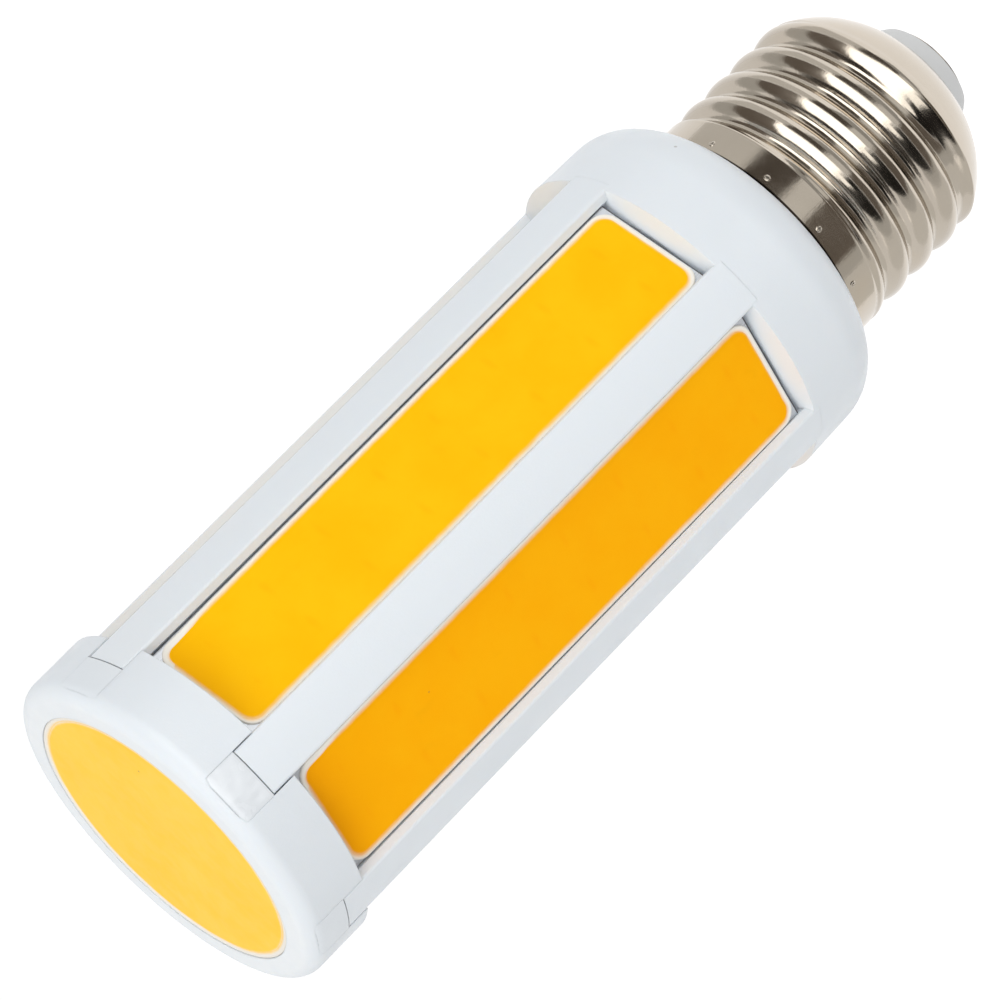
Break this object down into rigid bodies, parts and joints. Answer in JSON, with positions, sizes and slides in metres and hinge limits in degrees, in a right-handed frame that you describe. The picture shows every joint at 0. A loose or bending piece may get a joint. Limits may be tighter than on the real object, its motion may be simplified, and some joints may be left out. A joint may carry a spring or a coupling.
{
  "type": "corn led bulb",
  "caption": "Corn LED bulb with long yellow light strips between white bars, a round end light in a white bezel and a nickel Edison screw cap.",
  "frame": {"origin": "tip of the centre contact, on the bulb's axis", "axes": "+Z along the bulb's axis from the screw cap to the round end light; one white bar faces -Y"},
  "size_m": [0.0366, 0.0366, 0.1094],
  "materials": {
    "white_plastic": "cool white moulded plastic, soft sheen",
    "cap_metal": "warm nickel plate, bright and lightly brushed",
    "insulator": "pale grey, satin",
    "contact_metal": "plain tinned steel",
    "strip_metal": "bluish silver, satin",
    "dam_silicone": "cream white silicone",
    "phosphor": "deep yellow phosphor gel, satin",
    "end_phosphor": "paler yellow phosphor gel, satin",
    "core_metal": "mill finish",
    "board": "green board",
    "black_sleeve": "black shrink sleeve",
    "coil_tape": "yellow tape",
    "film_case": "brown dipped film",
    "black_plastic": "black moulded",
    "fuse_coat": "blue-green coating",
    "wire_red": "insulated wire",
    "wire_black": "insulated wire",
    "bare_wire": "tinned copper"
  },
  "bodies": {
    "root": {"housing": "white_plastic", "front_ring": "white_plastic", "cap_shell": "cap_metal", "cap_insulator": "insulator", "centre_contact": "contact_metal", "cob_plate_1": "strip_metal", "cob_plate_2": "strip_metal", "cob_plate_3": "strip_metal", "cob_plate_4": "strip_metal", "cob_plate_5": "strip_metal", "cob_plate_6": "strip_metal", "cob_dam_1": "dam_silicone", "cob_dam_2": "dam_silicone", "cob_dam_3": "dam_silicone", "cob_dam_4": "dam_silicone", "cob_dam_5": "dam_silicone", "cob_dam_6": "dam_silicone", "cob_phosphor_1": "phosphor", "cob_phosphor_2": "phosphor", "cob_phosphor_3": "phosphor", "cob_phosphor_4": "phosphor", "cob_phosphor_5": "phosphor", "cob_phosphor_6": "phosphor", "end_plate": "strip_metal", "end_dam": "dam_silicone", "end_phosphor": "end_phosphor", "core_tube": "core_metal", "driver_board": "board", "link_board": "board", "electrolytic_cap": "black_sleeve", "inductor": "coil_tape", "film_cap": "film_case", "bridge_rectifier": "black_plastic", "driver_chip": "black_plastic", "fuse_resistor": "fuse_coat", "live_wire": "wire_red", "neutral_wire": "bare_wire", "feed_wire_plus": "wire_red", "feed_wire_minus": "wire_black", "end_lead_plus": "bare_wire", "end_lead_minus": "bare_wire", "strip_lead_1": "bare_wire", "strip_lead_2": "bare_wire", "strip_lead_3": "bare_wire", "strip_lead_4": "bare_wire", "strip_lead_5": "bare_wire", "strip_lead_6": "bare_wire"}
  },
  "joints": []
}
